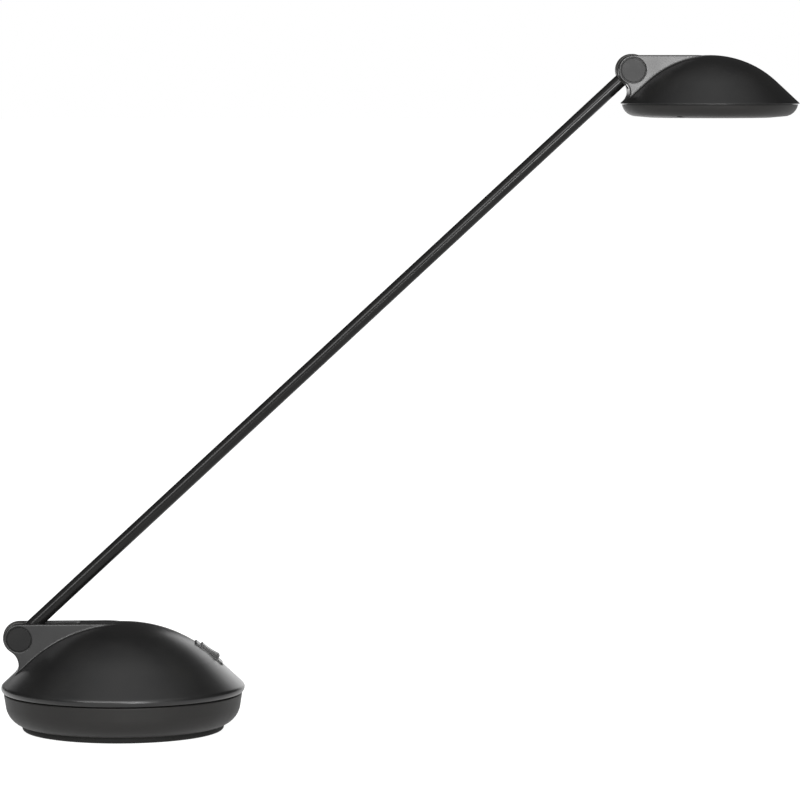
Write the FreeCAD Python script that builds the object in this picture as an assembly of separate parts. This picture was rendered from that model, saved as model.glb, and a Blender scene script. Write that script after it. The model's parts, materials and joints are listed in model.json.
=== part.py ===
import FreeCAD, Part
import math
import os
from FreeCAD import Vector

# Desk lamp: a domed base with two hinge cheeks, one tube arm and a domed LED head.
# Millimetres and degrees. The origin is the middle of the foot on the desk,
# +Z is up and +X runs to the head.

# Arm
arm_length = 500.0  # pivot to pivot
arm_angle = 42.7  # above the desk, as modelled
arm_lowest = 20.0  # above the desk, at the lower stop
head_back = 12.0  # how far the head tips back from level
tube_diameter = 8.0
tube_wall = 1.0
spigot_length = 22.0  # of the knuckle, inside the tube
cable_diameter = 3.2
wire_diameter = 1.6  # of the switch's two leads
wire_reach = 5.0  # sideways from the switch's tabs
bend_share = 0.45  # of the shorter run that a lead's bend takes up

# Hinge hardware, the same at both ends of the arm
bolt_diameter = 4.0
bolt_head_diameter = 7.2
bolt_head_height = 2.0
bolt_key = 2.5  # across the flats of its socket
nut_width = 7.0  # across the flats
nut_height = 2.0
washer_diameter = 13.0
washer_thickness = 0.5
cap_diameter = 14.2
cap_thickness = 1.2
cap_flange = 0.4  # thickness of the foot of the cap
cap_setback = 0.2  # below the cheek's face
cap_groove = 0.6  # open ring round the cap
cheek_rim = 1.3  # wall outside the cap's seat
cheek_web = 1.9  # wall between the bolt's seat and the slot
knuckle_proud = 0.7  # past the cheeks' round end
knuckle_hub = 1.7  # wall round the bolt
gallery_width = 3.8  # cable way round the hub, inside the knuckle
gallery_depth = 3.4
lower_window = (205.0, 305.0)  # angles between which the gallery opens to the base, from the arm
upper_window = (85.0, 190.0)  # and to the head

# Shells of base and head
dome_slope = 43.0  # of the straight flanks of both domes
edge_round = 0.7  # along the edges of the cheeks
neck_share = 0.67  # of the pivot's height over the flank, taken as the radius of the hollow neck
neck_sink = 0.6  # the neck's curve runs this deep into the flank
cove_round = 1.2  # hollow round between the cheeks and the dome
fin_fade = 10.0  # length over which the flat top between the cheeks sinks into the dome

# Base
foot_inset = 12.5  # from the cover's rim in to the foot
foot_height = 3.0
foot_seat = 0.8  # depth of the recess that holds the foot
foot_round = 2.0  # along its lower edge
tray_height = 19.6
tray_taper = 9.0
tray_corner = 13.5
tray_wall = 2.4
tray_step = 1.4  # from the cover's rim in to the tray's top edge
tray_edge = 0.7  # round of its top edge
seam_gap = 0.7
lip_height = 3.0
lip_wall = 1.6
base_radius = 73.0
base_dome_radius = 82.0
base_wall = 2.4
base_rim_wall = 4.6
rim_round = 3.0
rim_drop = 2.2  # from the widest point of the rim to its lower edge
base_pivot_inset = 11.0  # from the rim in to the pivot

# Ballast and the screws that clamp it
ballast_height = 15.0
ballast_overhang = 2.5  # past the flat of the tray's floor
ballast_chamfer = 3.0
boss_count = 4
boss_turn = 45.0  # of the first boss, from +X
boss_inset = 31.0  # from the cover's rim in to the bosses
boss_diameter = 8.4
shoulder_diameter = 14.0
screw_diameter = 3.0
screw_head_diameter = 6.4
screw_head_height = 2.0
screw_length = 14.0
screw_web = 3.0  # tray wall above the screw's head

# Power inlet
jack_body = 9.0  # square
jack_depth = 11.0
jack_collar = 8.0
jack_bore = 5.8
jack_bore_depth = 9.5
jack_pin = 2.0
pin_setback = 1.0  # behind the mouth of the bore
cradle_height = 5.0  # of the block under the inlet
cradle_wall = 1.6
cradle_side = 5.5  # height of the cheeks beside the inlet
inlet_flat = 0.8  # depth of the flat cut into the tray's round wall
lead_room = 14.0  # length of the open notch behind the inlet

# Driver board
board_length = 46.0
board_width = 30.0
board_thickness = 1.6
board_inset = 3.5  # from its edges to the screws
spacer_diameter = 5.0
spacer_height = 4.0
small_screw = 2.5
small_head = 4.5
small_head_height = 1.6
small_screw_length = 10.0
block_length = 8.0  # screw terminals on the board
block_width = 7.0
block_height = 7.0
lamp_bend = 12.0  # from its terminal back to the bend of the arm's lead
lamp_rise = 2.3  # of that bend above the terminal
transformer_size = (13.0, 16.0, 11.0)
transformer_place = (-2.0, -5.0)
capacitors = ((9.5, 8.5, 4.0, 12.0), (-0.5, 9.0, 3.2, 10.0))  # place, radius and height
can_round = 0.8
coil_place = (9.5, -7.5)
coil_radius = 4.0
coil_bore = 1.5
coil_height = 9.0

# Switch
switch_inset = 21.2  # from the cover's rim in to its middle, on the sphere
bezel_length = 21.0
bezel_width = 15.0
bezel_height = 2.0
bezel_sink = 1.8  # depth of its flat seat below the dome
bezel_corner = 1.5
bezel_edge = 0.6
switch_length = 18.8
switch_width = 12.8
switch_depth = 12.0
rocker_length = 13.0
rocker_width = 10.0
rocker_proud = 2.1  # above the bezel
rocker_dish = 0.6
rocker_skirt = 4.5  # below the seat
rocker_throw = 5.0  # to each side of level
rocker_gap = 0.4  # to the ends of its well
trunnion_diameter = 2.4
trunnion_length = 0.8
trunnion_depth = 1.5  # of its axis, below the seat
terminal_width = 4.8
terminal_thickness = 0.8
terminal_length = 8.0
terminal_pitch = 8.0

# Head
head_radius = 53.6
head_dome_radius = 58.1
head_wall = 2.0
head_land = 0.5  # flat edge of the rim
head_pivot_inset = 6.4
head_screws = 3  # in the ring, and again in the plate
head_seam = 0.4
ring_step = 0.9  # from the rim in to the ring's top edge
ring_height = 7.8
ring_wall = 2.0
ring_lean = 14.0  # of its outer wall
ring_corner = 8.5
ring_belly = 5.0  # slope of its underside
ring_lip = 1.2
ring_width = 16.7  # from its outer edge in to the lens
ring_screw_inset = 8.2  # from its outer edge in to its screws
ring_screw_web = 2.5
ring_screw_bite = 4.0  # length in the shell's boss
lens_flange = 2.0
lens_setback = 0.2
lens_thickness = 3.0
plate_height = 6.5  # of its lower face above the seam
plate_thickness = 2.0
plate_gap = 1.5  # to the inside of the shell
plate_screw_inset = 3.5
plate_screw_bite = 3.0
plate_screw_turn = 30.0
led_board_inset = 3.2  # from the plate's screws in to the board
led_board_thickness = 1.6
led_size = (3.5, 2.8, 0.7)
led_edge = 9.5  # from the board's edge in to the outer ring
led_rings = 2  # round the one in the middle
led_count = 6  # in the first ring, and as many more in each next one
head_boss = 6.0
lead_hole_inset = 16.0  # from the plate's edge in to the hole for the lead
led_bend = 8.0  # from that hole back to the lead's bend
led_rise = 1.0  # of the lead above the plate

# Clearances
running = 0.06  # round a turning shaft
fit = 0.1  # between pieces that are pushed together
side_gap = 0.05  # between knuckle and washer
tube_room = 0.6  # between arm and slot
knuckle_room = 0.5
cable_room = 0.3
press = 0.03  # spigot in tube
key_room = 0.3


def sine(angle):
    return math.sin(math.radians(angle))


def cosine(angle):
    return math.cos(math.radians(angle))


def polar(x, z, radius, angle):
    """Point in the XZ plane, the angle measured from +X towards +Z."""
    return Vector(x + radius * cosine(angle), 0, z + radius * sine(angle))


class Outline:
    """Closed outline in the XZ plane, of straight lines and arcs."""

    def __init__(self, x, z):
        self.first = Vector(x, 0, z)
        self.last = self.first
        self.edges = []

    def to(self, point):
        if point.distanceToPoint(self.last) > 1e-6:
            self.edges.append(Part.LineSegment(self.last, point).toShape())
        self.last = point
        return self

    def line(self, x, z):
        return self.to(Vector(x, 0, z))

    def arc(self, x, z, radius, start, stop):
        """Straight to the arc's start, then round it."""
        ends = [polar(x, z, radius, angle) for angle in (start, (start + stop) / 2, stop)]
        self.to(ends[0])
        self.edges.append(Part.Arc(*ends).toShape())
        self.last = ends[2]
        return self

    def face(self):
        self.to(self.first)
        return Part.Face(Part.Wire(self.edges))

    def turned(self):
        return self.face().revolve(Vector(), Vector(0, 0, 1), 360)

    def slab(self, width):
        face = self.face()
        face.translate(Vector(0, -width / 2, 0))
        return face.extrude(Vector(0, width, 0))


class Dome:
    """Cap of a sphere about the Z axis that runs tangentially into a straight flank."""

    def __init__(self, sphere, centre):
        self.sphere = sphere
        self.centre = centre
        self.apex = centre + sphere

    def offset(self, inwards):
        return Dome(self.sphere - inwards, self.centre)

    def flank_z(self, radius):
        return self.centre + (self.sphere - radius * sine(dome_slope)) / cosine(dome_slope)

    def flank_radius(self, z):
        return (self.sphere - (z - self.centre) * cosine(dome_slope)) / sine(dome_slope)

    def cap_z(self, radius):
        return self.centre + math.sqrt(self.sphere ** 2 - radius ** 2)

    def crown(self, outline):
        """Up the flank and over the cap to the axis."""
        return outline.arc(0, self.centre, self.sphere, 90 - dome_slope, 90)


def rod(radius, start, end):
    return Part.makeCylinder(radius, (end - start).Length, start, end - start)


def cross_rod(radius, start, end):
    """Rod along Y."""
    return rod(radius, Vector(0, start, 0), Vector(0, end, 0))


def upright(radius, x, y, bottom, top):
    return rod(radius, Vector(x, y, bottom), Vector(x, y, top))


def block(length, width, bottom, top, x=0.0, y=0.0):
    """Box centred on x and y."""
    return Part.makeBox(length, width, top - bottom, Vector(x - length / 2, y - width / 2, bottom))


def hexagon(width, start, end):
    """Six-sided bar along Y, measured across its flats."""
    corner = width / 2 / cosine(30)
    points = [polar(0, 0, corner, 60 * turn) for turn in range(7)]
    face = Part.Face(Part.makePolygon(points))
    face.translate(Vector(0, start, 0))
    return face.extrude(Vector(0, end - start, 0))


def around(count, radius, first=0.0):
    """Evenly spaced places on a circle."""
    for turn in range(count):
        place = polar(0, 0, radius, first + 360.0 / count * turn)
        yield place.x, place.z


def moved(shape, place):
    copy = shape.copy()
    copy.translate(place)
    return copy


def tilted(shape, angle, place):
    """Turned about Y, positive from +X up to +Z, then moved."""
    copy = shape.copy()
    copy.rotate(Vector(), Vector(0, 1, 0), -angle)
    copy.translate(place)
    return copy


def group(solids):
    return Part.makeCompound(list(solids))


def rounded(solid, radius, chosen):
    return solid.makeFillet(radius, [edge for edge in solid.Edges if chosen(edge.CenterOfMass)])


def pan_screw(head_diameter, head_height, diameter, length):
    """Screw along +Z with its head's seat at zero, and a cross recess."""
    crown = head_height / 3
    recess_depth = head_height / 2
    recess_span = head_diameter / 2
    recess_width = head_diameter / 7
    head = upright(head_diameter / 2, 0, 0, -head_height, 0)
    head = rounded(head, crown, lambda at: at.z < -head_height + fit)
    screw = head.fuse(upright(diameter / 2, 0, 0, 0, length))
    for span, width in ((recess_span, recess_width), (recess_width, recess_span)):
        screw = screw.cut(block(span, width, -head_height, recess_depth - head_height))
    return screw


def lead(points, diameter):
    """Round cable along straight runs joined by the largest tangent arcs that fit."""
    edges = []
    last = points[0]
    for before, corner, after in zip(points, points[1:], points[2:]):
        back = before - corner
        on = after - corner
        reach = bend_share * min(back.Length, on.Length)
        half_turn = (math.pi - back.getAngle(on)) / 2
        radius = reach / math.tan(half_turn)
        back.normalize()
        on.normalize()
        middle = back + on
        middle.normalize()
        inner = corner + middle * (radius / math.cos(half_turn) - radius)
        start = corner + back * reach
        end = corner + on * reach
        edges.append(Part.LineSegment(last, start).toShape())
        edges.append(Part.Arc(start, inner, end).toShape())
        last = end
    edges.append(Part.LineSegment(last, points[-1]).toShape())
    path = Part.Wire(edges)
    section = Part.Wire(Part.makeCircle(diameter / 2, points[0], points[1] - points[0]))
    return path.makePipeShell([section], True, False)


# Hinge stack, measured outwards from the middle plane
slot_half = tube_diameter / 2 + tube_room
bolt_seat = slot_half + cheek_web
cap_seat = bolt_seat + max(bolt_head_height, nut_height) + fit
cheek_face = cap_seat + cap_thickness + cap_setback
cap_seat_radius = cap_diameter / 2 + cap_groove
cheek_radius = cap_seat_radius + cheek_rim
pocket_radius = max(bolt_head_diameter / 2, nut_width / 2 / cosine(30)) + key_room
knuckle_radius = cheek_radius + knuckle_proud
knuckle_half = slot_half - washer_thickness - side_gap
slot_radius = knuckle_radius + knuckle_room
bolt_hole = bolt_diameter / 2 + running
gallery_inner = bolt_hole + knuckle_hub
gallery_outer = gallery_inner + gallery_depth

# Heights and domes of the base
foot_radius = base_radius - foot_inset
boss_circle = base_radius - boss_inset
base_reach = base_radius - base_pivot_inset
tray_floor = foot_height + tray_wall
tray_top = foot_height + tray_height
cover_bottom = tray_top + seam_gap
rim_z = cover_bottom + rim_drop
rim_radius = base_radius - rim_round
rim_angle = math.degrees(math.asin(rim_drop / rim_round))
base_dome = Dome(base_dome_radius, 0)
base_dome = Dome(base_dome_radius, rim_z - base_dome.offset(rim_round).flank_z(rim_radius))
base_pivot = Vector(-base_reach, 0, base_dome.apex - cheek_radius)
cavity_radius = base_radius - base_rim_wall
ballast_top = tray_floor + ballast_height
board_top = ballast_top + spacer_height + board_thickness

# Tray wall: a tapered line with a round lower corner
tray_radius = base_radius - tray_step
corner_z = foot_height + tray_corner
corner_radius = (tray_radius - (tray_top - corner_z) * math.tan(math.radians(tray_taper))
                 - tray_corner / cosine(tray_taper))
ballast_radius = corner_radius + ballast_overhang
screw_seat = foot_height + screw_web

# Screw terminals on the board, and the bend in front of the lamp's one
terminal_x = board_length / 2 - board_inset / 2 - block_length / 2
terminal_z = board_top + block_height / 2
lamp_turn = Vector(-terminal_x - block_length / 2 - lamp_bend, 0, terminal_z + lamp_rise)

# Inlet: its body stands inside the tray's wall, which is narrowest at the body's lower edge
inlet_bottom = tray_floor + cradle_height
inlet_z = inlet_bottom + jack_body / 2
inlet_face = tray_radius - (tray_top - inlet_z) * math.tan(math.radians(tray_taper)) - inlet_flat
inlet_room = corner_radius + math.sqrt((tray_corner - tray_wall) ** 2 - (corner_z - inlet_bottom) ** 2)
jack_front = math.sqrt(inlet_room ** 2 - (jack_body / 2) ** 2) - fit
jack_back = jack_front - jack_depth
notch_end = jack_back - lead_room

# Head, in its own frame: the dome's axis is x = 0 and the seam is z = 0
head_dome = Dome(head_dome_radius, 0)
head_dome = Dome(head_dome_radius, head_land - head_dome.flank_z(head_radius))
head_reach = head_radius - head_pivot_inset
head_hinge = Vector(-head_reach, 0, head_dome.apex - cheek_radius)
head_pivot = base_pivot + polar(0, 0, arm_length, arm_angle)
head_place = head_pivot - head_hinge
head_inside = head_dome.offset(head_wall)
ring_radius = head_radius - ring_step
ring_bottom = -head_seam - ring_height
ring_screw_circle = ring_radius - ring_screw_inset
ring_screw_seat = -head_seam - ring_screw_web
ring_screw_length = ring_screw_web + head_seam + ring_screw_bite
lens_radius = ring_radius - ring_width
plate_top = plate_height + plate_thickness
plate_radius = head_inside.flank_radius(plate_top) - plate_gap
plate_screw_circle = plate_radius - plate_screw_inset
plate_screw_length = plate_thickness + plate_screw_bite
led_board_radius = plate_screw_circle - led_board_inset
led_pitch = (led_board_radius - led_edge) / led_rings
lead_hole_x = lead_hole_inset - plate_radius
led_turn = Vector(lead_hole_x - led_bend, 0, plate_top + led_rise + cable_diameter / 2)

# Switch frame: its origin is the middle of its seat, +X runs down the dome
switch_tilt = math.degrees(math.asin((base_radius - switch_inset) / base_dome_radius))
switch_place = polar(0, base_dome.centre, base_dome_radius - bezel_sink, 90 - switch_tilt)
tab_end = switch_depth + terminal_length
cable_hole = cable_diameter / 2 + cable_room


def fin_outline(dome, pivot):
    """Flat top that sinks into the dome, round end about the pivot, hollow neck down to the flank."""
    normal = Vector(-sine(dome_slope), 0, cosine(dome_slope))
    down = Vector(-cosine(dome_slope), 0, -sine(dome_slope))
    above = normal.dot(pivot - Vector(0, 0, dome.centre)) - (dome.sphere - neck_sink)
    neck = neck_share * above
    along = math.sqrt((cheek_radius + neck) ** 2 - (above - neck) ** 2)
    bend = pivot - normal * (above - neck) + down * along
    turn = math.degrees(math.atan2(bend.z - pivot.z, bend.x - pivot.x)) % 360
    drop = dome.apex - dome.cap_z(cheek_face) + fit
    fade_radius = (fin_fade ** 2 + drop ** 2) / 2 / drop
    fade_angle = math.degrees(math.asin(fin_fade / fade_radius))
    outline = Outline(0, dome.apex - drop)
    outline.arc(-fin_fade, dome.apex - fade_radius, fade_radius, 90 - fade_angle, 90)
    outline.arc(pivot.x, pivot.z, cheek_radius, 90, turn)
    outline.arc(bend.x, bend.z, neck, turn - 180, dome_slope - 90)
    return outline.line(0, outline.last.z)


def hinge_fin(dome, pivot):
    """Both cheeks in one, with rounded edges."""
    outline = fin_outline(dome, pivot)
    floor = outline.last.z
    fin = outline.slab(2 * cheek_face)

    def cheek_edge(at):
        return abs(at.y) > cheek_face - fit and at.z > floor + fit and at.x < -fit

    return rounded(fin, edge_round, cheek_edge)


def fin_coves(dome, pivot, wall):
    """What a ball rolling along the cheeks' faces and the dome leaves in their corners.

    Its path is an arc round the middle of the sphere, then a straight line down the flank.
    """
    ball_y = cheek_face + cove_round
    path = math.sqrt((dome.sphere + cove_round) ** 2 - ball_y ** 2)
    outer_y = ball_y * dome.sphere / (dome.sphere + cove_round)
    inner = math.sqrt((dome.sphere - wall / 2) ** 2 - outer_y ** 2)
    middle = Vector(0, 0, dome.centre)
    across = Vector(0, -1, 0)
    corner = Vector(0, cheek_face - fit, dome.centre + inner)
    section = Part.makePlane(outer_y - corner.y, path - inner, corner, Vector(1, 0, 0), Vector(0, 1, 0))
    arc = section.revolve(middle, across, dome_slope)
    arc = arc.cut(Part.makeTorus(path, cove_round, Vector(0, ball_y, dome.centre), across))
    section.rotate(middle, across, dome_slope)
    outline = fin_outline(dome, pivot)
    down = Vector(-cosine(dome_slope), 0, -sine(dome_slope)) * dome.sphere
    start = polar(0, dome.centre, path, 90 + dome_slope) + Vector(0, ball_y, 0)
    straight = section.extrude(down).cut(rod(cove_round, start, start + down))
    room = block(2 * dome.sphere, 2 * ball_y, outline.last.z, pivot.z + cheek_radius - edge_round)
    cove = arc.fuse(straight).common(outline.slab(2 * ball_y)).common(room)
    return cove.fuse(cove.mirror(Vector(), across))


def hinge_cuts(pivot, slot):
    """Slot for the arm, bolt hole, and the two stepped seats for bolt, nut and caps."""
    cuts = cross_rod(slot_radius, -slot_half, slot_half)
    cuts = cuts.fuse(cross_rod(bolt_diameter / 2 + fit, -cheek_face, cheek_face))
    for side in (-1, 1):
        cuts = cuts.fuse(cross_rod(pocket_radius, side * bolt_seat, side * cheek_face))
        cuts = cuts.fuse(cross_rod(cap_seat_radius, side * cap_seat, side * (cheek_face + edge_round)))
    return moved(cuts, pivot).fuse(slot)


def arm_slot():
    """Room above the arm's lower edge at its lower stop, up through the top of the base's cheeks."""
    start = base_pivot + polar(0, 0, slot_half, arm_lowest - 90)
    above = base_dome.apex + slot_half
    run = (above - start.z) / sine(arm_lowest)
    end = start + polar(0, 0, run, arm_lowest)
    back = base_pivot.x - slot_radius
    outline = Outline(start.x, start.z).to(end).line(back, above).line(back, base_pivot.z)
    return outline.line(base_pivot.x, base_pivot.z).slab(2 * slot_half)


def cable_way(pivot, turn):
    """Hole from the slot into the housing, to the first bend of its lead."""
    return rod(cable_hole, pivot, turn)


def slot_end(pivot, turn):
    """End of a lead in the slot, in line with its first bend."""
    way = (turn - pivot).normalize()
    return pivot + way * (slot_radius + knuckle_room)


def boss_places():
    return list(around(boss_count, boss_circle, boss_turn))


def cover_bosses():
    """Posts under the dome, each a shoulder that presses on the ballast and a spigot down to the tray."""
    posts = None
    for x, y in boss_places():
        post = upright(shoulder_diameter / 2, x, y, ballast_top, base_dome.apex)
        post = post.fuse(upright(boss_diameter / 2, x, y, tray_floor + screw_web, base_dome.apex))
        posts = post if posts is None else posts.fuse(post)
    return posts


def cover_outline():
    """Half section of the full dome."""
    outline = Outline(0, cover_bottom)
    outline.arc(rim_radius, rim_z, rim_round, -rim_angle, 90 - dome_slope)
    return base_dome.crown(outline)


def switch_cuts():
    """Flat seat for the bezel and the opening for the switch's body."""
    seat = block(bezel_length + 2 * fit, bezel_width + 2 * fit, 0, bezel_sink + bezel_height)
    opening = block(switch_length + 2 * fit, switch_width + 2 * fit, -switch_depth, bezel_height)
    return tilted(seat.fuse(opening), -switch_tilt, switch_place)


def base_cover():
    dome = cover_outline().turned()
    inner = base_dome.offset(base_wall)
    outline = Outline(0, 0).line(cavity_radius, 0).line(cavity_radius, inner.flank_z(cavity_radius))
    cavity = inner.crown(outline).turned()
    shell = dome.fuse(hinge_fin(base_dome, base_pivot))
    shell = shell.fuse(fin_coves(base_dome, base_pivot, base_wall)).cut(cavity)
    shell = shell.fuse(cover_bosses().common(base_dome_room()))
    shell = shell.cut(hinge_cuts(base_pivot, arm_slot()))
    shell = shell.cut(cable_way(base_pivot, lamp_turn))
    shell = shell.cut(switch_cuts())
    pilot = screw_diameter / 2 + press
    for x, y in boss_places():
        shell = shell.cut(upright(pilot, x, y, 0, foot_height + screw_web + screw_length))
    return shell


def base_dome_room():
    """Everything under the middle of the dome's wall, down to the desk."""
    middle = base_dome.offset(base_wall / 2)
    outline = Outline(0, 0).line(cavity_radius, 0).line(cavity_radius, middle.flank_z(cavity_radius))
    return middle.crown(outline).turned()


def tray_screw_hole(x, y):
    head = upright(screw_head_diameter / 2 + key_room, x, y, 0, screw_seat)
    return head.fuse(upright(screw_diameter / 2 + fit, x, y, 0, tray_floor + screw_web))


def tray_section(inset):
    """Half section from the axis to the end of the round lower corner."""
    outline = Outline(0, foot_height + inset)
    return outline.arc(corner_radius, corner_z, tray_corner - inset, -90, -tray_taper)


def tray_outside():
    edge_x = tray_radius - tray_edge * (1 + sine(tray_taper)) / cosine(tray_taper)
    outline = tray_section(0).arc(edge_x, tray_top - tray_edge, tray_edge, -tray_taper, 90)
    return outline.line(0, tray_top).turned()


def tray_inside(inset):
    top = tray_radius - inset / cosine(tray_taper)
    return tray_section(inset).line(top, tray_top).line(0, tray_top).turned()


def inlet_cradle():
    """Block under the inlet with a cheek on each side."""
    span = jack_body + 2 * fit
    middle = -(jack_front + jack_back) / 2
    whole = span + 2 * cradle_wall
    body = block(jack_depth, whole, tray_floor - fit, inlet_bottom + cradle_side, middle)
    return body.cut(block(jack_depth, span, inlet_bottom, tray_top, middle))


def base_tray():
    tray = tray_outside().cut(tray_inside(tray_wall))
    lip_radius = cavity_radius - 2 * fit
    lip = upright(tray_radius - tray_wall / 2, 0, 0, tray_top - lip_wall, tray_top)
    lip = lip.fuse(upright(lip_radius, 0, 0, tray_top, cover_bottom + lip_height))
    lip = lip.cut(upright(lip_radius - lip_wall, 0, 0, 0, base_dome.apex))
    tray = tray.fuse(lip).fuse(inlet_cradle().common(tray_inside(tray_wall / 2)))
    for x, y in boss_places():
        tray = tray.fuse(upright(boss_diameter / 2, x, y, tray_floor - fit, tray_floor + screw_web))
        tray = tray.cut(tray_screw_hole(x, y))
    recess = upright(foot_radius + fit, 0, 0, 0, foot_height + foot_seat)
    flat = block(base_radius, jack_body + cradle_wall, inlet_bottom, inlet_bottom + jack_body)
    hole = rod(jack_collar / 2 + fit, Vector(-jack_back, 0, inlet_z), Vector(-base_radius, 0, inlet_z))
    return tray.cut(recess).cut(moved(flat, Vector(-inlet_face - base_radius / 2, 0, 0))).cut(hole)


def foot_pad():
    """Full disc in the tray's recess, over the screws."""
    pad = upright(foot_radius, 0, 0, 0, foot_height + foot_seat)
    return rounded(pad, foot_round, lambda at: at.z < fit)


def board_places():
    return [(x * (board_length / 2 - board_inset), y * (board_width / 2 - board_inset))
            for x in (-1, 1) for y in (-1, 1)]


def ballast_plate():
    outline = Outline(0, tray_floor).line(ballast_radius - ballast_chamfer, tray_floor)
    outline.line(ballast_radius, tray_floor + ballast_chamfer).line(ballast_radius, ballast_top)
    plate = outline.line(0, ballast_top).turned()
    for x, y in boss_places():
        plate = plate.cut(upright(boss_diameter / 2 + key_room, x, y, 0, ballast_top))
    notch = jack_body + 2 * (cradle_wall + key_room + fit)
    plate = plate.cut(block(base_radius, notch, 0, ballast_top, -notch_end - base_radius / 2))
    for x, y in board_places():
        bottom = board_top - small_screw_length
        plate = plate.cut(upright(small_screw / 2 + press, x, y, bottom - fit, ballast_top))
    return plate


def tray_screws():
    screw = pan_screw(screw_head_diameter, screw_head_height, screw_diameter, screw_length - 2 * fit)
    return group(moved(screw, Vector(x, y, screw_seat)) for x, y in boss_places())


def power_inlet():
    """Barrel socket: square body, round collar through the tray's wall, bore for the plug."""
    front = -jack_front
    half = jack_body / 2
    body = block(jack_depth, jack_body, inlet_bottom, inlet_z + half, front + jack_depth / 2)
    mouth = Vector(-inlet_face + 2 * fit, 0, inlet_z)
    body = body.fuse(rod(jack_collar / 2, Vector(front + fit, 0, inlet_z), mouth))
    return body.cut(rod(jack_bore / 2, mouth, mouth + Vector(jack_bore_depth, 0, 0)))


def inlet_pin():
    """Centre contact, pressed into the back of the socket."""
    mouth = -inlet_face + 2 * fit
    back = mouth + jack_bore_depth
    tip = mouth + pin_setback
    pin = rod(jack_pin / 2, Vector(back, 0, inlet_z), Vector(tip, 0, inlet_z))
    return rounded(pin, jack_pin / 4, lambda at: at.x < tip + fit)


def driver_board():
    board = block(board_length, board_width, board_top - board_thickness, board_top)
    for x, y in board_places():
        board = board.cut(upright(small_screw / 2 + fit, x, y, 0, board_top))
    return board


def board_spacers():
    top = board_top - board_thickness
    spacers = []
    for x, y in board_places():
        spacer = upright(spacer_diameter / 2, x, y, ballast_top, top)
        spacers.append(spacer.cut(upright(small_screw / 2 + fit, x, y, ballast_top, top)))
    return group(spacers)


def board_screws():
    screw = pan_screw(small_head, small_head_height, small_screw, small_screw_length)
    screw.rotate(Vector(), Vector(1, 0, 0), 180)
    return group(moved(screw, Vector(x, y, board_top)) for x, y in board_places())


def terminal_places():
    """Middles of the screw terminals: supply and lamp on the left, switch on the right."""
    half = block_width / 2
    return {"supply": (-terminal_x, -half), "lamp": (-terminal_x, half + fit), "switch": (terminal_x, 0)}


def terminal_blocks():
    blocks = []
    for x, y in terminal_places().values():
        body = block(block_length, block_width, board_top, board_top + block_height, x, y)
        well = upright(block_width / 4, x, y, board_top + block_height / 2, board_top + block_height)
        blocks.append(body.cut(well))
    return group(blocks)


def driver_parts():
    """Transformer, two capacitors and a coil on the board."""
    length, width, height = transformer_size
    core = block(length, width, board_top, board_top + height, *transformer_place)
    parts = [rounded(core, can_round, lambda at: at.z > board_top + height - fit)]
    for x, y, radius, height in capacitors:
        can = upright(radius, x, y, board_top, board_top + height)
        parts.append(rounded(can, can_round, lambda at, top=board_top + height: at.z > top - fit))
    coil = upright(coil_radius, *coil_place, board_top, board_top + coil_height)
    parts.append(coil.cut(upright(coil_bore, *coil_place, board_top, board_top + coil_height)))
    return group(parts)


def supply_lead():
    """From the inlet up through the notch in the ballast to its screw terminal."""
    x, y = terminal_places()["supply"]
    end = Vector(x - block_length / 2, y, terminal_z)
    start = Vector(-jack_back, 0, inlet_z)
    turn = start + Vector(lead_room / 2, 0, 0)
    return lead([start, turn, Vector(turn.x, y, terminal_z), end], cable_diameter)


def lamp_lead():
    """From the slot at the base pivot through the cover to its screw terminal."""
    x, y = terminal_places()["lamp"]
    end = Vector(x - block_length / 2, y, terminal_z)
    route = [slot_end(base_pivot, lamp_turn), lamp_turn, end - Vector(lamp_bend / 2, 0, 0), end]
    return lead(route, cable_diameter)


def switch_body():
    """Snap-in rocker switch: bezel on the dome, box below it, well for the rocker."""
    bezel = block(bezel_length, bezel_width, 0, bezel_height)
    bezel = rounded(bezel, bezel_corner, lambda at: fit < at.z < bezel_height - fit)
    bezel = rounded(bezel, bezel_edge, lambda at: at.z > bezel_height - fit)
    body = bezel.fuse(block(switch_length, switch_width, -switch_depth, 0))
    gap = rocker_length / 2 * (1 / cosine(rocker_throw) - 1) + rocker_gap
    well_floor = -rocker_skirt - rocker_length / 2 * sine(rocker_throw) - key_room
    body = body.cut(block(rocker_length + 2 * gap, rocker_width + 4 * fit, well_floor, bezel_height))
    reach = rocker_width / 2 + trunnion_length + fit
    seat = cross_rod(trunnion_diameter / 2 + running, -reach, reach)
    return body.cut(moved(seat, Vector(0, 0, -trunnion_depth)))


def switch_rocker():
    """Dished key on two trunnions, its outer end up."""
    top = bezel_height + rocker_proud + trunnion_depth
    bottom = trunnion_depth - rocker_skirt
    half = rocker_length / 2
    bow = (half ** 2 + rocker_dish ** 2) / 2 / rocker_dish
    spread = math.degrees(math.asin(half / bow))
    outline = Outline(-half, bottom).line(half, bottom)
    outline.arc(0, top - rocker_dish + bow, bow, spread - 90, -spread - 90)
    key = outline.slab(rocker_width)
    key = rounded(key, bezel_edge, lambda at: at.z > top - rocker_dish - fit)
    reach = rocker_width / 2 + trunnion_length
    return key.fuse(cross_rod(trunnion_diameter / 2, -reach, reach))


def switch_terminals():
    tab = block(terminal_thickness, terminal_width, -tab_end, -switch_depth)
    return group(moved(tab, Vector(x * terminal_pitch / 2, 0, 0)) for x in (-1, 1))


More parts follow.
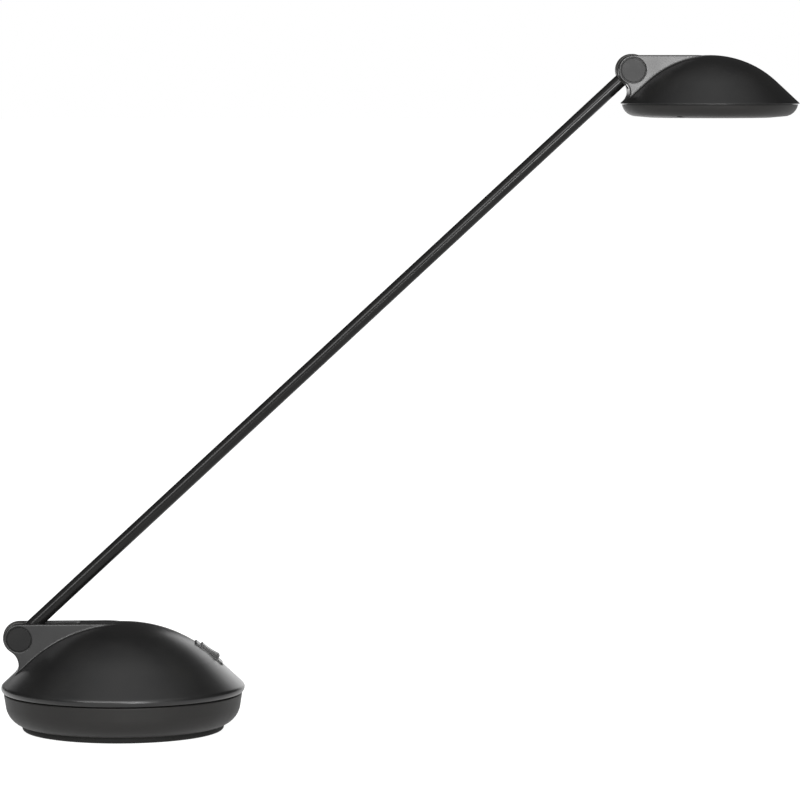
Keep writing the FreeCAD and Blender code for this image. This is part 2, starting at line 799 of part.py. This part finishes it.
def switch_leads():
    """One wire from the edge of each tab to that side of the screw terminal on the right."""
    turned = FreeCAD.Rotation(Vector(0, 1, 0), switch_tilt).multVec
    wires = []
    for side in (-1, 1):
        edge = Vector(side * terminal_pitch / 2, side * terminal_width / 2, wire_diameter - tab_end)
        start = switch_place + turned(edge)
        aside = start + Vector(0, side * wire_reach, 0)
        end = Vector(terminal_x, side * block_width / 2, terminal_z)
        wires.append(lead([start, aside, Vector(end.x, aside.y, end.z), end], wire_diameter))
    return group(wires)


def pivot_bolt():
    """Socket-head bolt along Y, its head on the side nearest the viewer."""
    bolt = cross_rod(bolt_diameter / 2, -bolt_seat, bolt_seat + nut_height)
    bolt = bolt.fuse(cross_rod(bolt_head_diameter / 2, -bolt_seat - bolt_head_height, -bolt_seat))
    return bolt.cut(hexagon(bolt_key, -bolt_seat - bolt_head_height, -bolt_seat - bolt_head_height / 3))


def pivot_nut():
    nut = hexagon(nut_width, bolt_seat, bolt_seat + nut_height)
    return nut.cut(cross_rod(bolt_diameter / 2 + press, bolt_seat, bolt_seat + nut_height))


def pivot_washers():
    washers = []
    for side in (-1, 1):
        ends = (side * (slot_half - washer_thickness), side * slot_half)
        washer = cross_rod(washer_diameter / 2, *ends)
        washers.append(washer.cut(cross_rod(bolt_diameter / 2 + fit, *ends)))
    return group(washers)


def pivot_cap(side):
    """Stepped disc: its flange fills the seat, its face stands in an open ring."""
    face = cheek_face - cap_setback
    cap = cross_rod(cap_seat_radius - fit / 2, side * cap_seat, side * (cap_seat + cap_flange))
    disc = cross_rod(cap_diameter / 2, side * cap_seat, side * face)
    disc = rounded(disc, cap_flange / 2, lambda at: at.y * side > face - fit)
    return cap.fuse(disc)


def knuckle(first, last):
    """Round end of the arm along +X, with a spigot for the tube and a cable way round the bolt.

    The way opens outwards between the two angles, where it always faces the housing.
    """
    disc = cross_rod(knuckle_radius, -knuckle_half, knuckle_half)
    disc = rounded(disc, edge_round, lambda at: abs(at.y) > knuckle_half - fit)
    spigot = tube_diameter / 2 - tube_wall - press
    end = Vector(knuckle_radius + spigot_length, 0, 0)
    body = disc.fuse(rod(spigot, Vector(gallery_outer, 0, 0), end))
    half = gallery_width / 2
    way = cross_rod(gallery_outer, -half, half)
    sector = Outline(0, 0).arc(0, 0, knuckle_radius + fit, first, last).slab(gallery_width)
    way = way.fuse(sector).cut(cross_rod(gallery_inner, -half, half))
    way = way.fuse(rod(cable_diameter / 2 + press, Vector(gallery_inner, 0, 0), end))
    return body.cut(way).cut(cross_rod(bolt_hole, -knuckle_half, knuckle_half))


def arm_tube():
    """Straight tube, coped at both ends to seat on the round knuckles."""
    far = Vector(arm_length, 0, 0)
    tube = rod(tube_diameter / 2, Vector(), far)
    tube = tube.cut(rod(tube_diameter / 2 - tube_wall, Vector(), far))
    cope = cross_rod(knuckle_radius + press, -slot_half, slot_half)
    return tube.cut(cope).cut(moved(cope, far))


def arm_cable():
    """Lead through the tube, from one knuckle's cable way to the other's."""
    inset = (gallery_inner + gallery_outer) / 2
    return rod(cable_diameter / 2, Vector(inset, 0, 0), Vector(arm_length - inset, 0, 0))


def ring_screw_places():
    return list(around(head_screws, ring_screw_circle))


def plate_screw_places():
    return list(around(head_screws, plate_screw_circle, plate_screw_turn))


def head_bosses(places, bottom):
    """Posts from the inside of the shell down to what they carry."""
    posts = [upright(head_boss / 2, x, y, bottom, head_dome.apex) for x, y in places]
    middle = head_dome.offset(head_wall / 2)
    outline = Outline(0, 0).line(middle.flank_radius(0), 0)
    return middle.crown(outline).turned().common(group(posts))


def head_shell():
    outline = Outline(0, 0).line(head_radius, 0).line(head_radius, head_land)
    dome = head_dome.crown(outline).turned()
    cavity = head_inside.crown(Outline(0, 0).line(head_inside.flank_radius(0), 0)).turned()
    shell = dome.fuse(hinge_fin(head_dome, head_hinge))
    shell = shell.fuse(fin_coves(head_dome, head_hinge, head_wall)).cut(cavity)
    shell = shell.fuse(head_bosses(plate_screw_places(), plate_top))
    shell = shell.fuse(head_bosses(ring_screw_places(), 0))
    shell = shell.cut(hinge_cuts(head_hinge, head_slot()))
    shell = shell.cut(cable_way(head_hinge, led_turn))
    pilot = small_screw / 2 + press
    for x, y in plate_screw_places():
        shell = shell.cut(upright(pilot, x, y, 0, plate_height + plate_screw_length))
    for x, y in ring_screw_places():
        shell = shell.cut(upright(pilot, x, y, ring_bottom, ring_screw_seat + ring_screw_length))
    return shell


def head_slot():
    """Room behind the arm's lower edge with the head tipped back, open upwards and backwards."""
    stop = 180 + arm_angle + head_back
    start = head_hinge + polar(0, 0, slot_half, stop + 90)
    end = start + polar(0, 0, slot_radius + slot_half, stop)
    above = head_hinge.z + slot_radius
    back = head_hinge.x - slot_radius
    outline = Outline(start.x, start.z).to(end).line(back, end.z).line(back, above)
    return outline.line(head_hinge.x, above).slab(2 * slot_half)


def ring_skin(inset):
    """Outside of the ring, or its inside when inset by the wall, from its axis up to the seam."""
    lean_end = ring_radius - inset / cosine(ring_lean)
    belly = math.tan(math.radians(ring_belly))
    flat = lens_radius
    rise = ring_bottom + inset
    centre_z, centre_r = ring_corner_centre(lean_end, flat, rise, belly, ring_corner - inset)
    outline = Outline(0, rise).line(flat, rise)
    outline.arc(centre_r, centre_z, ring_corner - inset, ring_belly - 90, -ring_lean)
    return outline.line(lean_end, -head_seam).line(0, -head_seam)


def ring_corner_centre(lean_end, flat, rise, belly, radius):
    """Centre of the arc that touches both the leaning wall and the rising underside."""
    lean = math.tan(math.radians(ring_lean))
    wall_start = lean_end - radius / cosine(ring_lean) + lean * head_seam
    under_start = rise - belly * flat + radius / cosine(ring_belly)
    z = (under_start + belly * wall_start) / (1 - belly * lean)
    return z, wall_start + lean * z


def head_ring():
    """Leaning wall, round corner, gently bellied underside with a flat shelf round the lens."""
    ring = ring_skin(0).turned().cut(ring_skin(ring_wall).turned())
    lip_radius = head_inside.flank_radius(ring_lip) - key_room
    lip = upright(ring_radius - ring_wall, 0, 0, -head_seam - ring_lip, -head_seam)
    lip = lip.fuse(upright(lip_radius, 0, 0, -head_seam, ring_lip))
    lip = lip.cut(upright(lip_radius - ring_lip, 0, 0, ring_bottom, ring_lip))
    ring = ring.fuse(lip).cut(upright(lens_radius, 0, 0, ring_bottom, 0))
    ring = ring.cut(upright(lens_radius + lens_flange + fit, 0, 0, ring_bottom + ring_wall, 0))
    posts = [upright(head_boss / 2, x, y, ring_bottom, -head_seam) for x, y in ring_screw_places()]
    ring = ring.fuse(group(posts).common(ring_skin(ring_wall / 2).turned()))
    for x, y in ring_screw_places():
        ring = ring.cut(upright(small_head / 2 + key_room, x, y, ring_bottom, ring_screw_seat))
        ring = ring.cut(upright(small_screw / 2 + fit, x, y, ring_bottom, ring_lip + fit))
        ring = ring.cut(upright(head_boss / 2 + fit, x, y, -head_seam, ring_lip + fit))
    return ring


def ring_screws():
    screw = pan_screw(small_head, small_head_height, small_screw, ring_screw_length - 2 * fit)
    return group(moved(screw, Vector(x, y, ring_screw_seat)) for x, y in ring_screw_places())


def diffuser():
    """Stepped opal disc: its flange rests on the ring, its face stands just inside the ring's underside."""
    shelf = ring_bottom + ring_wall
    face = ring_bottom + lens_setback
    lens = upright(lens_radius - key_room, 0, 0, face, shelf)
    lens = lens.fuse(upright(lens_radius + lens_flange, 0, 0, shelf, face + lens_thickness))
    return rounded(lens, edge_round / 2, lambda at: at.z < face + fit)


def heat_plate():
    plate = upright(plate_radius, 0, 0, plate_height, plate_top)
    for x, y in plate_screw_places():
        plate = plate.cut(upright(small_screw / 2 + fit, x, y, plate_height, plate_top))
    return plate.cut(upright(cable_hole, lead_hole_x, 0, plate_height, plate_top))


def plate_screws():
    screw = pan_screw(small_head, small_head_height, small_screw, plate_screw_length - 2 * fit)
    return group(moved(screw, Vector(x, y, plate_height)) for x, y in plate_screw_places())


def led_board():
    return upright(led_board_radius, 0, 0, plate_height - led_board_thickness, plate_height)


def led_chips():
    length, width, height = led_size
    top = plate_height - led_board_thickness
    chips = []
    for ring in range(led_rings + 1):
        for x, y in around(max(ring * led_count, 1), ring * led_pitch):
            chips.append(block(length, width, top - height, top, x, y))
    return group(chips)


def led_lead():
    """From the slot at the head pivot through the shell and the plate to the LED board."""
    end = Vector(lead_hole_x, 0, plate_height)
    route = [slot_end(head_hinge, led_turn), led_turn, Vector(end.x, 0, led_turn.z), end]
    return lead(route, cable_diameter)


def in_head(shape):
    return moved(shape, head_place)


def on_arm(shape):
    return tilted(shape, arm_angle, base_pivot)


def on_arm_end(shape):
    return tilted(shape, arm_angle + 180, head_pivot)


def on_switch(shape):
    return tilted(shape, -switch_tilt, switch_place)


def on_rocker(shape):
    level = tilted(shape, rocker_throw, Vector(0, 0, -trunnion_depth))
    return on_switch(level)


def hinge_set(name, pivot):
    return {
        name + "_pivot_bolt": moved(pivot_bolt(), pivot),
        name + "_pivot_nut": moved(pivot_nut(), pivot),
        name + "_pivot_washers": moved(pivot_washers(), pivot),
        name + "_pivot_cap_front": moved(pivot_cap(-1), pivot),
        name + "_pivot_cap_rear": moved(pivot_cap(1), pivot),
    }


def all_parts():
    parts = {
        "base_cover": base_cover(),
        "base_tray": base_tray(),
        "foot_pad": foot_pad(),
        "ballast_plate": ballast_plate(),
        "tray_screws": tray_screws(),
        "power_inlet": power_inlet(),
        "inlet_pin": inlet_pin(),
        "driver_board": driver_board(),
        "driver_parts": driver_parts(),
        "terminal_blocks": terminal_blocks(),
        "board_spacers": board_spacers(),
        "board_screws": board_screws(),
        "supply_lead": supply_lead(),
        "lamp_lead": lamp_lead(),
        "switch_leads": switch_leads(),
        "switch_body": on_switch(switch_body()),
        "switch_rocker": on_rocker(switch_rocker()),
        "switch_terminals": on_switch(switch_terminals()),
        "arm_tube": on_arm(arm_tube()),
        "lower_knuckle": on_arm(knuckle(*lower_window)),
        "upper_knuckle": on_arm_end(knuckle(*upper_window)),
        "arm_cable": on_arm(arm_cable()),
        "head_shell": in_head(head_shell()),
        "head_ring": in_head(head_ring()),
        "ring_screws": in_head(ring_screws()),
        "diffuser": in_head(diffuser()),
        "heat_plate": in_head(heat_plate()),
        "plate_screws": in_head(plate_screws()),
        "led_board": in_head(led_board()),
        "led_chips": in_head(led_chips()),
        "led_lead": in_head(led_lead()),
    }
    parts.update(hinge_set("base", base_pivot))
    parts.update(hinge_set("head", head_pivot))
    return parts


def main():
    os.makedirs("parts", exist_ok=True)
    for name, shape in all_parts().items():
        shape.exportStep(os.path.join("parts", name + ".step"))
        print(name, len(shape.Solids), "solids", round(shape.Volume), "mm3", shape.isValid())
    print("base pivot", base_pivot, "head pivot", head_pivot)
    print("inlet height", inlet_z, "inlet face", inlet_face, "switch", switch_place, switch_tilt)


main()
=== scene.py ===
import json
import bpy
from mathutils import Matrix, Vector

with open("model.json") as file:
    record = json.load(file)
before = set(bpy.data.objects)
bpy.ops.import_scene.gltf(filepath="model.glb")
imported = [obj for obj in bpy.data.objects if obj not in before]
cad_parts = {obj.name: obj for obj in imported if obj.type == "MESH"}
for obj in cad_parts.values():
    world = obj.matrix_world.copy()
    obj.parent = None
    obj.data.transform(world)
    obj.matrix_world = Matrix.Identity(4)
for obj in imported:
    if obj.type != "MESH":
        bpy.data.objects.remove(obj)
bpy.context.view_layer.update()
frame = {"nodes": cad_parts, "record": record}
print("frame loaded:", len(frame["nodes"]), "nodes")


# wires a node's output to another node's input, each by its name or number
def join(tree, source, output, target, socket):
    tree.links.new(source.outputs[output], target.inputs[socket])


# sets some of a node's inputs to fixed values
def setInputs(node, values):
    for socket, value in values.items():
        node.inputs[socket].default_value = value


# a grey as sockets and ramps take it: the level three times, and full cover
def grey(level):
    return (level, level, level, 1.0)


# the noise in all finishes; span is the part of its values that colour and polish follow
noiseLook = {"cloudDetail": 3.0, "grainDetail": 2.0, "span": (0.3, 0.7)}

# what a finish has where its own dictionary doesn't say; depth and edge in metres
plainFinish = {"metal": 0.0, "gloss": 0.5, "clear": 0.0, "milk": 0.0, "depth": (0.002, 0.002, 0.002),
               "stretch": (1.0, 1.0, 1.0), "edge": 0.0, "edgeSamples": 8}


# cloudy noise in object space; a stretch over 1 packs the grain closer along that axis
def addNoise(tree, place, scale, detail, stretch):
    mapping = tree.nodes.new("ShaderNodeMapping")
    noise = tree.nodes.new("ShaderNodeTexNoise")
    setInputs(mapping, {"Scale": stretch})
    setInputs(noise, {"Scale": scale, "Detail": detail})
    join(tree, place, "Object", mapping, "Vector")
    join(tree, mapping, "Vector", noise, "Vector")
    return noise


# colour between two shades, following the noise over its span
def shade(tree, noise, look, shader):
    ramp = tree.nodes.new("ShaderNodeValToRGB")
    shades = (look["dark"], look["light"])
    for stop, position, colour in zip(ramp.color_ramp.elements, noiseLook["span"], shades):
        stop.position = position
        stop.color = (*colour, 1.0)
    join(tree, noise, "Fac", ramp, "Fac")
    join(tree, ramp, "Color", shader, "Base Color")


# roughness between two values, following the noise over its span
def polish(tree, noise, look, shader):
    spread = tree.nodes.new("ShaderNodeMapRange")
    low, high = noiseLook["span"]
    setInputs(spread, {"From Min": low, "From Max": high,
                       "To Min": look["smooth"], "To Max": look["rough"]})
    join(tree, noise, "Fac", spread, "Value")
    join(tree, spread, "Result", shader, "Roughness")


# fine relief from the noise, its height in metres, over edges that are softened to a radius
def relief(tree, noise, look, shader):
    bump = tree.nodes.new("ShaderNodeBump")
    setInputs(bump, {"Strength": look["relief"], "Distance": look["height"]})
    join(tree, noise, "Fac", bump, "Height")
    join(tree, bump, "Normal", shader, "Normal")
    if look["edge"]:
        soften = tree.nodes.new("ShaderNodeBevel")
        soften.samples = look["edgeSamples"]
        setInputs(soften, {"Radius": look["edge"]})
        join(tree, soften, "Normal", bump, "Normal")


# one finish from its dictionary: cloudy colour, uneven polish and fine relief
def makeFinish(slot, ownLook):
    look = {**plainFinish, **ownLook}
    material = bpy.data.materials.new(slot)
    material.use_nodes = True
    tree = material.node_tree
    shader = tree.nodes["Principled BSDF"]
    place = tree.nodes.new("ShaderNodeTexCoord")
    cloud = addNoise(tree, place, look["cloud"], noiseLook["cloudDetail"], plainFinish["stretch"])
    fine = addNoise(tree, place, look["grain"], noiseLook["grainDetail"], look["stretch"])
    shade(tree, cloud, look, shader)
    polish(tree, cloud, look, shader)
    relief(tree, fine, look, shader)
    setInputs(shader, {"Metallic": look["metal"], "Specular IOR Level": look["gloss"],
                       "Transmission Weight": look["clear"], "Subsurface Weight": look["milk"],
                       "Subsurface Radius": look["depth"]})
    return material


# moulded housings and what shows on the outside
blackShell = {"dark": (0.0058, 0.0058, 0.0059), "light": (0.0076, 0.0075, 0.0073), "cloud": 60.0,
              "smooth": 0.29, "rough": 0.34, "gloss": 0.42, "edge": 0.0009,
              "grain": 1500.0, "height": 0.00002, "relief": 0.02}
greyRing = {"dark": (0.0066, 0.0062, 0.0057), "light": (0.0088, 0.0082, 0.0076), "cloud": 90.0,
            "smooth": 0.54, "rough": 0.60, "gloss": 0.30,
            "grain": 1900.0, "height": 0.00004, "relief": 0.16}
footRubber = {"dark": (0.0048, 0.0048, 0.0044), "light": (0.0074, 0.0074, 0.0068), "cloud": 120.0,
              "smooth": 0.70, "rough": 0.82, "gloss": 0.22,
              "grain": 1500.0, "height": 0.00006, "relief": 0.25}
capPlastic = {"dark": (0.0040, 0.0040, 0.0040), "light": (0.0056, 0.0055, 0.0054), "cloud": 150.0,
              "smooth": 0.34, "rough": 0.38, "gloss": 0.19,
              "grain": 2600.0, "height": 0.00002, "relief": 0.02}
armPaint = {"dark": (0.0060, 0.0059, 0.0058), "light": (0.0084, 0.0082, 0.0080), "cloud": 110.0,
            "smooth": 0.16, "rough": 0.20, "gloss": 0.15,
            "grain": 900.0, "height": 0.00003, "relief": 0.03}
knucklePaint = {"dark": (0.0130, 0.0122, 0.0110), "light": (0.0175, 0.0163, 0.0146), "cloud": 140.0,
                "smooth": 0.42, "rough": 0.50, "gloss": 0.40,
                "grain": 1300.0, "height": 0.00003, "relief": 0.10}
switchBlack = {"dark": (0.0080, 0.0080, 0.0080), "light": (0.0110, 0.0110, 0.0106), "cloud": 160.0,
               "smooth": 0.30, "rough": 0.36,
               "grain": 1600.0, "height": 0.00002, "relief": 0.01}
rockerBlack = {"dark": (0.0085, 0.0085, 0.0085), "light": (0.0120, 0.0120, 0.0116), "cloud": 180.0,
               "smooth": 0.26, "rough": 0.32,
               "grain": 1600.0, "height": 0.00002, "relief": 0.01}
opalLens = {"dark": (0.78, 0.78, 0.76), "light": (0.84, 0.84, 0.82), "cloud": 70.0,
            "smooth": 0.30, "rough": 0.38, "clear": 0.25, "milk": 0.35, "depth": (0.004, 0.004, 0.004),
            "grain": 2400.0, "height": 0.00002, "relief": 0.08}
inletPlastic = {"dark": (0.012, 0.012, 0.012), "light": (0.018, 0.018, 0.0175), "cloud": 200.0,
                "smooth": 0.40, "rough": 0.48,
                "grain": 2400.0, "height": 0.00002, "relief": 0.10}
blackSteel = {"dark": (0.020, 0.020, 0.021), "light": (0.034, 0.034, 0.035), "cloud": 500.0,
              "smooth": 0.40, "rough": 0.52, "metal": 0.7,
              "grain": 2400.0, "height": 0.00002, "relief": 0.12}

# what is inside and in the hinges
ballastIron = {"dark": (0.055, 0.052, 0.050), "light": (0.105, 0.098, 0.092), "cloud": 120.0,
               "smooth": 0.62, "rough": 0.80, "metal": 0.6,
               "grain": 420.0, "height": 0.0003, "relief": 0.50}
zincSteel = {"dark": (0.50, 0.51, 0.53), "light": (0.62, 0.63, 0.64), "cloud": 400.0,
             "smooth": 0.26, "rough": 0.40, "metal": 1.0,
             "grain": 2200.0, "height": 0.00002, "relief": 0.15}
contactBrass = {"dark": (0.62, 0.46, 0.20), "light": (0.74, 0.57, 0.28), "cloud": 300.0,
                "smooth": 0.22, "rough": 0.36, "metal": 1.0,
                "grain": 2400.0, "height": 0.00001, "relief": 0.10}
spacerBrass = {"dark": (0.55, 0.41, 0.18), "light": (0.68, 0.52, 0.25), "cloud": 350.0,
               "smooth": 0.30, "rough": 0.44, "metal": 1.0, "stretch": (0.2, 0.2, 3.0),
               "grain": 1200.0, "height": 0.00002, "relief": 0.15}
boardGreen = {"dark": (0.012, 0.085, 0.035), "light": (0.018, 0.115, 0.048), "cloud": 260.0,
              "smooth": 0.30, "rough": 0.42,
              "grain": 700.0, "height": 0.00003, "relief": 0.15}
driverBlack = {"dark": (0.014, 0.014, 0.015), "light": (0.026, 0.026, 0.027), "cloud": 300.0,
               "smooth": 0.36, "rough": 0.50,
               "grain": 1600.0, "height": 0.00003, "relief": 0.15}
terminalGreen = {"dark": (0.030, 0.17, 0.07), "light": (0.040, 0.21, 0.09), "cloud": 240.0,
                 "smooth": 0.38, "rough": 0.48,
                 "grain": 1800.0, "height": 0.00002, "relief": 0.10}
leadBlack = {"dark": (0.013, 0.013, 0.013), "light": (0.020, 0.020, 0.0195), "cloud": 220.0,
             "smooth": 0.44, "rough": 0.55,
             "grain": 1400.0, "height": 0.00003, "relief": 0.15}
leadRed = {"dark": (0.32, 0.012, 0.010), "light": (0.40, 0.020, 0.016), "cloud": 240.0,
           "smooth": 0.38, "rough": 0.48,
           "grain": 1400.0, "height": 0.00003, "relief": 0.12}
washerNylon = {"dark": (0.70, 0.69, 0.64), "light": (0.78, 0.77, 0.72), "cloud": 200.0,
               "smooth": 0.42, "rough": 0.52, "milk": 0.2, "depth": (0.001, 0.001, 0.001),
               "grain": 1600.0, "height": 0.00002, "relief": 0.10}
bareAluminium = {"dark": (0.72, 0.73, 0.74), "light": (0.80, 0.81, 0.82), "cloud": 90.0,
                 "smooth": 0.34, "rough": 0.48, "metal": 1.0, "stretch": (0.05, 3.0, 1.0),
                 "grain": 500.0, "height": 0.00003, "relief": 0.20}
ledBoardWhite = {"dark": (0.76, 0.76, 0.75), "light": (0.82, 0.82, 0.81), "cloud": 180.0,
                 "smooth": 0.36, "rough": 0.46,
                 "grain": 1400.0, "height": 0.00002, "relief": 0.10}
ledPhosphor = {"dark": (0.78, 0.60, 0.12), "light": (0.86, 0.70, 0.20), "cloud": 900.0,
               "smooth": 0.40, "rough": 0.52,
               "grain": 2600.0, "height": 0.00002, "relief": 0.15}

# the record's material slots and their finishes
finishes = {"black_shell": blackShell, "grey_ring": greyRing, "foot_rubber": footRubber,
            "ballast_iron": ballastIron, "zinc_steel": zincSteel, "black_steel": blackSteel,
            "inlet_plastic": inletPlastic, "contact_brass": contactBrass, "board_green": boardGreen,
            "driver_black": driverBlack, "terminal_green": terminalGreen, "spacer_brass": spacerBrass,
            "lead_black": leadBlack, "lead_red": leadRed, "switch_black": switchBlack,
            "rocker_black": rockerBlack, "arm_paint": armPaint, "knuckle_paint": knucklePaint,
            "washer_nylon": washerNylon, "cap_plastic": capPlastic, "opal_lens": opalLens,
            "bare_aluminium": bareAluminium, "led_board_white": ledBoardWhite, "led_phosphor": ledPhosphor}

materials = {slot: makeFinish(slot, look) for slot, look in finishes.items()}
for entry in frame["record"]["subparts"]:
    mesh = frame["nodes"][entry["node"]].data
    mesh.materials.clear()
    mesh.materials.append(materials[entry["material_slot"]])
print("finishes set:", len(materials))


# pale floor: a flat square just below the foot; rays that look at it see near white with a faint shadow,
# others plain diffuse
floorLook = {"size": 60.0, "drop": 0.0002, "bounce": 0.78, "seen": 0.30, "glow": 0.94}

bpy.ops.mesh.primitive_plane_add(size=floorLook["size"], location=(0.0, 0.0, -floorLook["drop"]))
floor = bpy.context.object
floor.name = "deskFloor"
paper = bpy.data.materials.new("floorPaper")
paper.use_nodes = True
tree = paper.node_tree
tree.nodes.remove(tree.nodes["Principled BSDF"])
bounce = tree.nodes.new("ShaderNodeBsdfDiffuse")
seen = tree.nodes.new("ShaderNodeBsdfDiffuse")
glow = tree.nodes.new("ShaderNodeEmission")
setInputs(bounce, {"Color": grey(floorLook["bounce"])})
setInputs(seen, {"Color": grey(floorLook["seen"])})
setInputs(glow, {"Strength": floorLook["glow"]})
lit = tree.nodes.new("ShaderNodeAddShader")
ray = tree.nodes.new("ShaderNodeLightPath")
direct = tree.nodes.new("ShaderNodeMath")
direct.operation = "MAXIMUM"
looking = tree.nodes.new("ShaderNodeMath")
looking.operation = "MAXIMUM"
choice = tree.nodes.new("ShaderNodeMixShader")
join(tree, seen, "BSDF", lit, 0)
join(tree, glow, "Emission", lit, 1)
join(tree, ray, "Is Camera Ray", direct, 0)
join(tree, ray, "Is Glossy Ray", direct, 1)
join(tree, direct, "Value", looking, 0)
join(tree, ray, "Is Transmission Ray", looking, 1)
join(tree, looking, "Value", choice, "Fac")
join(tree, bounce, "BSDF", choice, 1)
join(tree, lit, "Shader", choice, 2)
join(tree, choice, "Shader", tree.nodes["Material Output"], "Surface")
floor.data.materials.append(paper)
print("floor laid")


# studio: pale overhead in front, dim behind, by the cosine of the angle to a direction above the camera;
# below the band of heights it is white, to join the floor's far edge
studio = {"towards": (0.0, -0.6, 0.8), "cosines": (0.28, 0.66, 0.86), "levels": (0.06, 0.48, 1.15),
          "band": (0.02, 0.045), "white": 1.0}
mixSockets = {"share": 0, "below": 6, "above": 7, "colour": 2}  # by number, as their names are shared

world = bpy.data.worlds.new("studioRoom")
world.use_nodes = True
bpy.context.scene.world = world
tree = world.node_tree
direction = tree.nodes.new("ShaderNodeTexCoord")
heights = tree.nodes.new("ShaderNodeSeparateXYZ")
facing = tree.nodes.new("ShaderNodeVectorMath")
facing.operation = "DOT_PRODUCT"
setInputs(facing, {1: studio["towards"]})
ramp = tree.nodes.new("ShaderNodeValToRGB")
for cosine, level in zip(studio["cosines"], studio["levels"]):
    stop = ramp.color_ramp.elements.new(cosine)
    stop.color = grey(level)
ramp.color_ramp.elements.remove(ramp.color_ramp.elements[0])  # the two stops that a new ramp brings
ramp.color_ramp.elements.remove(ramp.color_ramp.elements[-1])
band = tree.nodes.new("ShaderNodeMapRange")
bandLow, bandHigh = studio["band"]
setInputs(band, {"From Min": bandLow, "From Max": bandHigh})
blend = tree.nodes.new("ShaderNodeMix")
blend.data_type = "RGBA"
setInputs(blend, {mixSockets["below"]: grey(studio["white"])})
join(tree, direction, "Generated", facing, 0)
join(tree, direction, "Generated", heights, "Vector")
join(tree, facing, "Value", ramp, "Fac")
join(tree, heights, "Z", band, "Value")
join(tree, band, "Result", blend, mixSockets["share"])
join(tree, ramp, "Color", blend, mixSockets["above"])
join(tree, blend, mixSockets["colour"], tree.nodes["Background"], "Color")
print("studio painted")


# puts a light or a camera at its place, turned so that its -Z axis points to its aim
def setUp(item, look):
    item.location = look["at"]
    sight = Vector(look["aim"]) - Vector(look["at"])
    item.rotation_euler = sight.to_track_quat("-Z", "Y").to_euler()
    bpy.context.collection.objects.link(item)


# softboxes: one beside the camera, level with the head, and a long one above it
frontBox = {"name": "frontBox", "at": (0.62, -2.75, 0.48), "aim": (0.3, 0.0, 0.35),
            "size": (0.80, 0.46), "watts": 36.0}
overBox = {"name": "overBox", "at": (-0.55, -2.35, 1.55), "aim": (-0.35, 0.0, 0.15),
           "size": (3.00, 0.70), "watts": 68.0}

# pale panels behind the base's two sides
sidePanel = {"name": "sidePanel", "at": (0.26, 0.51, 0.19), "aim": (0.05, 0.0, 0.05),
             "size": (0.25, 0.32), "watts": 0.48}
leftPanel = {"name": "leftPanel", "at": (-0.25, 0.52, 0.20), "aim": (-0.05, 0.0, 0.05),
             "size": (0.20, 0.18), "watts": 0.075}


# a flat rectangular light from its dictionary; the camera doesn't see it
def hangLight(box):
    light = bpy.data.lights.new(box["name"], "AREA")
    light.shape = "RECTANGLE"
    light.size, light.size_y = box["size"]
    light.energy = box["watts"]
    lamp = bpy.data.objects.new(box["name"], light)
    lamp.visible_camera = False
    setUp(lamp, box)


for box in (frontBox, overBox, sidePanel, leftPanel):
    hangLight(box)
print("lights hung")


# camera: long lens, level with the head's top, looking slightly down
cameraLook = {"at": (0.00405, -2.68873, 0.39827), "aim": (0.16654, 0.0, 0.19748), "lens": 202.608,
              "reach": 200.0}

camera = bpy.data.objects.new("photoCamera", bpy.data.cameras.new("photoCamera"))
camera.data.lens = cameraLook["lens"]
camera.data.clip_end = cameraLook["reach"]
setUp(camera, cameraLook)
bpy.context.scene.camera = camera
bpy.context.scene.view_settings.view_transform = "Standard"
print("camera set")
